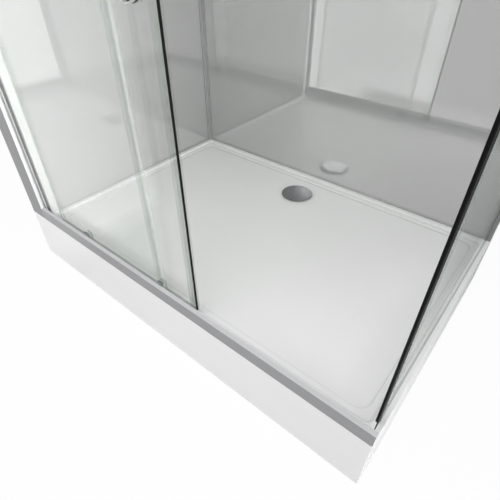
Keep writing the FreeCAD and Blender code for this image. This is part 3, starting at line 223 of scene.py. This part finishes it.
# soft lamps: over the open front, from the right, a narrow one whose glint the drain cover mirrors,
# a gridded one on the left wall's front, and a low one along the right apron
lampSettings = {
    "topLamp": {"place": (0.2, -1.2, 2.1), "aim": (0.05, 0.0, 0.16), "size": (1.4, 1.0),
                "power": 17.6, "spread": 180, "mirrored": False},
    "rightLamp": {"place": (3.0, -0.6, 1.9), "aim": (0.2, 0.0, 0.5), "size": (2.0, 2.0),
                  "power": 12.0, "spread": 180, "mirrored": False},
    "glintLamp": {"place": (-1.77, -3.34, 2.22), "aim": (0.0, 0.26, 0.16), "size": (1.0, 0.9),
                  "power": 0.42, "spread": 30, "mirrored": True},
    "gridLamp": {"place": (3.2, -0.9, 1.0), "aim": (-0.54, -0.36, 0.6), "size": (0.6, 0.6),
                 "power": 2.5, "spread": 28, "mirrored": False},
    "lowLamp": {"place": (2.6, -0.3, 0.12), "aim": (0.6, -0.1, 0.08), "size": (1.0, 0.3),
                "power": 0.42, "spread": 30, "mirrored": False},
}


def makeLamp(name, s):
    data = bpy.data.lights.new(name, "AREA")
    data.shape = "RECTANGLE"
    data.size, data.size_y = s["size"]
    data.energy = s["power"]
    data.spread = math.radians(s["spread"])
    lamp = bpy.data.objects.new(name, data)
    scene.collection.objects.link(lamp)
    # the broad lamps would stand as white patches in the mirror walls
    lamp.visible_glossy = s["mirrored"]
    lamp.visible_transmission = s["mirrored"]
    way = Vector(s["aim"]) - Vector(s["place"])
    turn = way.to_track_quat("-Z", "Y").to_matrix()
    lamp.matrix_world = Matrix.Translation(s["place"]) @ turn.to_4x4()


for lampName, lamp in lampSettings.items():
    makeLamp(lampName, lamp)
print("lamps set:", len(lampSettings))

# the soft noise in all finishes: the part of its range that is used, and how fine each use of it goes
noiseSettings = {"span": (0.3, 0.7), "toneDetail": 3.0, "grainDetail": 2.0, "rippleDetail": 1.0}


def wander(tree, spot, sizeMm, low, high, detail=noiseSettings["toneDetail"]):
    # a value that wanders from low to high, with spots of the given size
    noise = addNode(tree, "ShaderNodeTexNoise", {"Vector": spot, "Scale": perMetre(sizeMm), "Detail": detail})
    start, end = noiseSettings["span"]
    return addNode(tree, "ShaderNodeMapRange", {0: noise, 1: start, 2: end, 3: low, 4: high})


def wanderTones(tree, spot, sizeMm, tones):
    # a colour that wanders between two tones
    share = wander(tree, spot, sizeMm, 0.0, 1.0)
    mixed = addNode(tree, "ShaderNodeMix", {0: share, 6: hexLinear(tones[0]), 7: hexLinear(tones[1])},
                    data_type="RGBA")
    return mixed.outputs[2]


def wanderRelief(tree, spot, s, detail):
    # a fine relief of the finish's own size and depth
    height = wander(tree, spot, s["reliefMm"], 0.0, 1.0, detail)
    depth = metres(s["reliefDepthMm"])
    return addNode(tree, "ShaderNodeBump", {"Strength": 1.0, "Distance": depth, "Height": height})


# solid finishes: two tones, the size of the spots between them, the roughness, and the fine relief
finishes = {
    # vacuum-formed sanitary acrylic: an even gloss white with a faint orange peel, darkened in its inner
    # corners by painted shade
    "white_acrylic": {"name": "sanitaryAcrylic", "tones": ("#F0F0F0", "#F3F3F3"), "wanderMm": 260,
                      "rough": (0.34, 0.36), "roughMm": 320, "reliefMm": 4.0, "reliefDepthMm": 0.002,
                      "ior": 1.49, "creaseShadeMm": 7, "creaseShadeTone": "#B8B8B8", "creaseShadeOwn": True},
    # white powder coat on aluminium: gloss with a fine pebble
    "white_enamel": {"name": "whitePowderCoat", "tones": ("#EFF0F0", "#F3F4F4"), "wanderMm": 120,
                     "rough": (0.3, 0.34), "roughMm": 90, "reliefMm": 1.6, "reliefDepthMm": 0.004,
                     "ior": 1.5},
    # satin anodised aluminium: fine lines along the extrusion; painted shade darkens the fronts and tops, so
    # the sides and backs come out brightest
    "satin_aluminium": {"name": "satinAnodisedAluminium", "tones": ("#EAEBEC", "#EFF0F0"), "wanderMm": 3,
                        "rough": (0.36, 0.44), "roughMm": 2, "reliefMm": 1.4, "reliefDepthMm": 0.002,
                        "metal": 0.12, "ior": 1.25, "stretch": 60,
                        "shadeByFacing": (("Y", -0.6, -0.95, ("#9B9B9D", "#A1A1A3")),
                                  ("Z", 0.6, 0.95, ("#C2C2C4", "#C8C8CA"))),
                        "uprightFrontShade": ("#8A8A8C", "#909092")},
    # the corner trim between the wall panels: the walls' grey, satin
    "corner_trim": {"name": "greyAnodisedTrim", "tones": ("#A9A9AA", "#AFAFB0"), "wanderMm": 3,
                    "rough": (0.4, 0.46), "roughMm": 2, "reliefMm": 1.4, "reliefDepthMm": 0.002,
                    "metal": 0.2, "stretch": 60},
    # grey anodised joint strip behind the post, its tone deepened by painted shade of the recess: darker than
    # the fronts, hardly any gloss
    "joint_strip": {"name": "shadeDarkenedAnodisedStrip", "tones": ("#39393B", "#3F3F41"), "wanderMm": 3,
                    "rough": (0.5, 0.58), "roughMm": 2, "reliefMm": 1.4, "reliefDepthMm": 0.002,
                    "metal": 0.3, "stretch": 60},
    # bright chrome plate: a mirror with the faint ripple of the polished casting
    "chrome": {"name": "chromePlate", "tones": ("#C3C4C6", "#CBCCCE"), "wanderMm": 40,
               "rough": (0.07, 0.11), "roughMm": 24, "reliefMm": 12.0, "reliefDepthMm": 0.004, "metal": 1.0},
    # satin chrome on the drain cover: the same plate, softened by cleaning
    "satin_chrome": {"name": "satinChromePlate", "tones": ("#999A9C", "#9FA0A2"), "wanderMm": 30,
                     "rough": (0.24, 0.27), "roughMm": 14, "reliefMm": 12.0, "reliefDepthMm": 0.003,
                     "metal": 1.0},
    # buffed chrome on the ring pull: a bright soft shine
    "buffed_chrome": {"name": "buffedChromePlate", "tones": ("#E4E5E6", "#EAEBEC"), "wanderMm": 18,
                      "rough": (0.26, 0.32), "roughMm": 10, "reliefMm": 8.0, "reliefDepthMm": 0.003,
                      "metal": 1.0},
    # turned brass: warm yellow, lightly dulled
    "brass": {"name": "turnedBrass", "tones": ("#BB9C5C", "#C7A96A"), "wanderMm": 12,
              "rough": (0.24, 0.36), "roughMm": 6, "reliefMm": 0.8, "reliefDepthMm": 0.008, "metal": 1.0},
    # zinc-plated steel: cool grey with a cloudy bloom
    "steel": {"name": "zincPlatedSteel", "tones": ("#A9ADB0", "#B9BCBE"), "wanderMm": 9,
              "rough": (0.28, 0.45), "roughMm": 5, "reliefMm": 0.9, "reliefDepthMm": 0.01, "metal": 1.0},
    # painted steel tube: dull white paint with a rolled texture
    "painted_steel": {"name": "paintedSteelTube", "tones": ("#C9CBCC", "#D3D5D5"), "wanderMm": 70,
                      "rough": (0.42, 0.58), "roughMm": 20, "reliefMm": 1.4, "reliefDepthMm": 0.02,
                      "ior": 1.5},
    # moulded dark plastic: near black with a fine spark-eroded grain
    "dark_plastic": {"name": "mouldedDarkPlastic", "tones": ("#1D1E1F", "#252627"), "wanderMm": 14,
                     "rough": (0.42, 0.56), "roughMm": 6, "reliefMm": 0.7, "reliefDepthMm": 0.015,
                     "ior": 1.48},
    # turned acetal wheels: milky white, slightly waxy
    "roller_plastic": {"name": "turnedAcetal", "tones": ("#E4E3DE", "#ECEBE7"), "wanderMm": 9,
                       "rough": (0.32, 0.42), "roughMm": 5, "reliefMm": 0.6, "reliefDepthMm": 0.006,
                       "ior": 1.48},
    # moulded polypropylene: pale grey with a soft sheen
    "drain_plastic": {"name": "mouldedPolypropylene", "tones": ("#CFD0CE", "#D9DAD8"), "wanderMm": 25,
                      "rough": (0.36, 0.5), "roughMm": 10, "reliefMm": 0.9, "reliefDepthMm": 0.012,
                      "ior": 1.49},
    # soft black rubber: dead matt with a dusty grain
    "rubber": {"name": "mouldedRubber", "tones": ("#161616", "#1E1E1E"), "wanderMm": 11,
               "rough": (0.62, 0.8), "roughMm": 5, "reliefMm": 0.6, "reliefDepthMm": 0.02, "ior": 1.52},
    # black magnetic strip in soft vinyl: deep black with a narrow sheen down its length
    "black_magnet": {"name": "blackMagnetVinyl", "tones": ("#0A0A0A", "#101010"), "wanderMm": 16,
                     "rough": (0.5, 0.58), "roughMm": 8, "reliefMm": 0.9, "reliefDepthMm": 0.004,
                     "ior": 1.25},
    # back-painted glass with a reflecting coat: a grey mirror over a grey ground, matt paint behind, darkened
    # by painted shade near the pieces that stand close to it, as at its foot on the tray
    "wall_glass": {"name": "coatedWallGlass", "tones": ("#A3A3A3", "#A7A7A7"), "wanderMm": 420,
                   "rough": (0.015, 0.025), "roughMm": 160, "reliefMm": 260.0, "reliefDepthMm": 0.006,
                   "ior": 3.6, "creaseShadeMm": 16, "creaseShadeTone": "#6C6C6C", "creaseShadeOwn": False,
                   "backTones": ("#C2C3C3", "#C9CACA"), "backRough": (0.5, 0.6), "backRange": (0.5, 0.9),
                   "backIor": 1.5},
}
# painted shade in inner corners: how many rays feel for them, and how open a corner is where the shade is
# full
creaseShadeSettings = {"samples": 8, "fullAt": 0.5}
# the axes that keep the pattern's scale where it is drawn out along a run
runShares = {"X": (0, 1, 1), "Y": (1, 0, 1), "Z": (1, 1, 0)}


def makeFinish(s, run=None):
    material, tree = startFinish(s["name"] + (run or ""))
    place = addNode(tree, "ShaderNodeTexCoord").outputs
    spot = place["Object"]
    if run:
        # the pattern is drawn out along the piece's length
        scale = [1 if keep else 1 / s["stretch"] for keep in runShares[run]]
        spot = addNode(tree, "ShaderNodeMapping", {"Vector": spot, "Scale": scale})
    colour = wanderTones(tree, spot, s["wanderMm"], s["tones"])
    for axis, start, full, tones in s.get("shadeByFacing", ()):
        # painted shade: a side that looks to the front or up takes darker tones, the front of an upright
        # piece the darkest
        if axis == "Y" and run == "Z":
            tones = s["uprightFrontShade"]
        way = addNode(tree, "ShaderNodeSeparateXYZ", {0: place["Normal"]}).outputs
        share = addNode(tree, "ShaderNodeMapRange", {0: way[axis], 1: start, 2: full})
        turned = wanderTones(tree, spot, s["wanderMm"], tones)
        colour = addNode(tree, "ShaderNodeMix", {0: share, 6: colour, 7: turned}, data_type="RGBA").outputs[2]
    if "creaseShadeMm" in s:
        # painted shade: the inner corners are darkened towards a grey tone
        bare = addNode(tree, "ShaderNodeAmbientOcclusion", {"Distance": metres(s["creaseShadeMm"])},
                       samples=creaseShadeSettings["samples"], only_local=s["creaseShadeOwn"])
        share = addNode(tree, "ShaderNodeMapRange",
                        {0: bare.outputs["AO"], 1: 1.0, 2: creaseShadeSettings["fullAt"]})
        colour = addNode(tree, "ShaderNodeMix", {0: share, 6: colour, 7: hexLinear(s["creaseShadeTone"])},
                         data_type="RGBA").outputs[2]
    rough = wander(tree, spot, s["roughMm"], *s["rough"])
    relief = wanderRelief(tree, spot, s, noiseSettings["grainDetail"])
    surface = addNode(tree, "ShaderNodeBsdfPrincipled",
                      {"Base Color": colour, "Roughness": rough, "Normal": relief,
                       "Metallic": s.get("metal", 0.0)})
    if "ior" in s:
        surface.inputs["IOR"].default_value = s["ior"]
    if "backTones" in s:
        # the painted back of a wall panel is matt: it looks to the rear or to the left
        way = addNode(tree, "ShaderNodeSeparateXYZ", {0: place["Normal"]}).outputs
        leftward = addNode(tree, "ShaderNodeMath", {0: way["X"], 1: -1.0}, operation="MULTIPLY")
        outward = addNode(tree, "ShaderNodeMath", {0: way["Y"], 1: leftward}, operation="MAXIMUM")
        start, full = s["backRange"]
        share = addNode(tree, "ShaderNodeMapRange", {0: outward, 1: start, 2: full})
        paint = addNode(tree, "ShaderNodeBsdfPrincipled",
                        {"Base Color": wanderTones(tree, spot, s["wanderMm"], s["backTones"]),
                         "Roughness": wander(tree, spot, s["roughMm"], *s["backRough"]),
                         "IOR": s["backIor"]})
        surface = addNode(tree, "ShaderNodeMixShader", {0: share, 1: surface, 2: paint})
    addNode(tree, "ShaderNodeOutputMaterial", {"Surface": surface})
    return material


# clear float glass with an easy-clean coat: almost no colour, a mirror that grows with the angle of view
glassSettings = {"name": "clearFloatGlass", "tones": ("#FCFEFD", "#FEFFFE"), "wanderMm": 300,
                 "rough": (0.0, 0.004), "reliefMm": 340.0, "reliefDepthMm": 0.002, "ior": 1.003,
                 "shade": "#F6F7F6", "mirror": (0.1, 0.25), "mirrorPower": 5.0}
# painted light: a white sheet drawn over the fixed pane where it stands in the post's groove, so the groove
# shows pale in place of its shade
grooveLightSettings = {"colour": "#ECECEC", "postWidthMm": 69}
# moulded clear nylon: glassy with a little haze, dark where its ends bend the light away
nylonSettings = {"name": "clearNylon", "tones": ("#DDE4E1", "#E6ECE9"), "wanderMm": 8,
                 "rough": (0.06, 0.12), "reliefMm": 1.5, "reliefDepthMm": 0.01, "ior": 1.53,
                 "shade": "#E2E8E5"}


def makeClear(s, grooveLight=None):
    material, tree = startFinish(s["name"] + ("GrooveLit" if grooveLight else ""))
    spot = addNode(tree, "ShaderNodeTexCoord").outputs["Object"]
    colour = wanderTones(tree, spot, s["wanderMm"], s["tones"])
    rough = wander(tree, spot, s["wanderMm"], *s["rough"])
    relief = wanderRelief(tree, spot, s, noiseSettings["rippleDetail"])
    surface = addNode(tree, "ShaderNodeBsdfPrincipled",
                      {"Base Color": colour, "Roughness": rough, "Normal": relief,
                       "Transmission Weight": 1.0, "IOR": s["ior"]})
    if "mirror" in s:
        # a thin pane: the view goes straight through, and each face mirrors more as it turns away
        turned = addNode(tree, "ShaderNodeLayerWeight").outputs["Facing"]
        bent = addNode(tree, "ShaderNodeMath", {0: turned, 1: s["mirrorPower"]}, operation="POWER")
        low, high = s["mirror"]
        share = addNode(tree, "ShaderNodeMapRange", {0: bent, 3: low, 4: high})
        coat = addNode(tree, "ShaderNodeBsdfGlossy", {"Roughness": rough, "Normal": relief})
        surface = addNode(tree, "ShaderNodeMixShader", {0: share, 1: surface, 2: coat})
    # painted light: inside the post's groove the pane is drawn as a matt white sheet
    if grooveLight:
        edge = cadBox[0][0] + metres(grooveLight["postWidthMm"])
        across = addNode(tree, "ShaderNodeSeparateXYZ", {0: spot}).outputs["X"]
        held = addNode(tree, "ShaderNodeMath", {0: across, 1: edge}, operation="LESS_THAN")
        paleSheet = addNode(tree, "ShaderNodeBsdfDiffuse", {"Color": hexLinear(grooveLight["colour"])})
        surface = addNode(tree, "ShaderNodeMixShader", {0: held, 1: surface, 2: paleSheet})
    # lamps shine through to what stands behind the pane
    path = addNode(tree, "ShaderNodeLightPath").outputs
    passes = addNode(tree, "ShaderNodeMath", {0: path["Is Shadow Ray"], 1: path["Is Diffuse Ray"]},
                     operation="MAXIMUM")
    through = addNode(tree, "ShaderNodeBsdfTransparent", {"Color": hexLinear(s["shade"])})
    surface = addNode(tree, "ShaderNodeMixShader", {0: passes, 1: surface, 2: through})
    addNode(tree, "ShaderNodeOutputMaterial", {"Surface": surface})
    return material


# clear soft vinyl: grey-green where it lies double over a pane's edge, denser along its bends and edges
vinylSettings = {"name": "clearSoftVinyl", "tones": ("#FBFCFB", "#FCFDFC"), "wanderMm": 60,
                 "bodyTones": ("#858D89", "#8F9692"), "rough": (0.16, 0.24), "ior": 1.5,
                 "edgeFrom": 0.35, "faceShare": 0.012, "edgeShare": 0.35}
# the fixed pane's edge seal: the same vinyl, with a painted highlight as a pale matt stripe on the nose along
# its end
noseHighlightSettings = {**vinylSettings, "name": "noseHighlightVinyl", "edgeShare": 0.2,
                "noseHighlightTone": "#F2F4F3", "noseHighlightRange": (0.6, 0.9), "noseHighlightShare": 0.12}
# milky drip strip: the same vinyl with a white filler, light grey against the rail
milkSettings = {"name": "milkySoftVinyl", "tones": ("#F4F6F5", "#F7F9F8"), "wanderMm": 40,
                "bodyTones": ("#D5D9D7", "#DDE0DE"), "rough": (0.25, 0.35), "ior": 1.5,
                "edgeFrom": 0.2, "faceShare": 0.3, "edgeShare": 0.6}


def makeVinyl(s):
    material, tree = startFinish(s["name"])
    place = addNode(tree, "ShaderNodeTexCoord").outputs
    spot = place["Object"]
    body = addNode(tree, "ShaderNodeBsdfPrincipled",
                   {"Base Color": wanderTones(tree, spot, s["wanderMm"], s["bodyTones"]),
                    "Roughness": wander(tree, spot, s["wanderMm"], *s["rough"]), "IOR": s["ior"]})
    tint = wanderTones(tree, spot, s["wanderMm"], s["tones"])
    through = addNode(tree, "ShaderNodeBsdfTransparent", {"Color": tint})
    # more of the body shows where a face turns its edge to the eye
    turned = addNode(tree, "ShaderNodeLayerWeight").outputs["Facing"]
    share = addNode(tree, "ShaderNodeMapRange",
                    {0: turned, 1: s["edgeFrom"], 2: 1.0, 3: s["faceShare"], 4: s["edgeShare"]})
    surface = addNode(tree, "ShaderNodeMixShader", {0: share, 1: through, 2: body})
    if "noseHighlightTone" in s:
        # painted highlight: the end that looks to the right is paled with a matt white
        way = addNode(tree, "ShaderNodeSeparateXYZ", {0: place["Normal"]}).outputs
        start, full = s["noseHighlightRange"]
        share = addNode(tree, "ShaderNodeMapRange", {0: way["X"], 1: start, 2: full, 4: s["noseHighlightShare"]})
        nosePaint = addNode(tree, "ShaderNodeBsdfDiffuse", {"Color": hexLinear(s["noseHighlightTone"])})
        surface = addNode(tree, "ShaderNodeMixShader", {0: share, 1: surface, 2: nosePaint})
    addNode(tree, "ShaderNodeOutputMaterial", {"Surface": surface})
    return material


made = {slot: makeFinish(s) for slot, s in finishes.items() if "stretch" not in s}
for slot, s in finishes.items():
    if "stretch" in s:
        for run in runShares:
            made[slot, run] = makeFinish(s, run)
made["clear_glass"] = makeClear(glassSettings)
made["groove_lit_glass"] = makeClear(glassSettings, grooveLightSettings)
made["clear_nylon"] = makeClear(nylonSettings)
made["clear_pvc"] = makeVinyl(vinylSettings)
made["nose_highlight_pvc"] = makeVinyl(noseHighlightSettings)
made["milky_pvc"] = makeVinyl(milkSettings)
print("finishes made:", len(made))


def longestRun(node):
    low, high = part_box(node)
    spans = [b - a for a, b in zip(low, high)]
    return "XYZ"[spans.index(max(spans))]


# pieces whose look differs from the rest of their slot
ownFinish = {
    "left_joint_profile": "joint_strip",
    "door_drip_seal": "milky_pvc",
    "fixed_glass": "groove_lit_glass",
    "drain_cover": "satin_chrome",
    "rear_corner_trim": "corner_trim",
    "fixed_glass_seal": "nose_highlight_pvc",
    "door_pull_front": "buffed_chrome",
    "door_pull_back": "buffed_chrome",
}
for part in frame["record"]["subparts"]:
    name = part["node"]
    slotName = ownFinish.get(name, part["material_slot"])
    finish = made[slotName] if slotName in made else made[slotName, longestRun(name)]
    for slot in nodes[name].material_slots:
        slot.material = finish
print("finishes set on the pieces")

scene.view_settings.view_transform = "Standard"
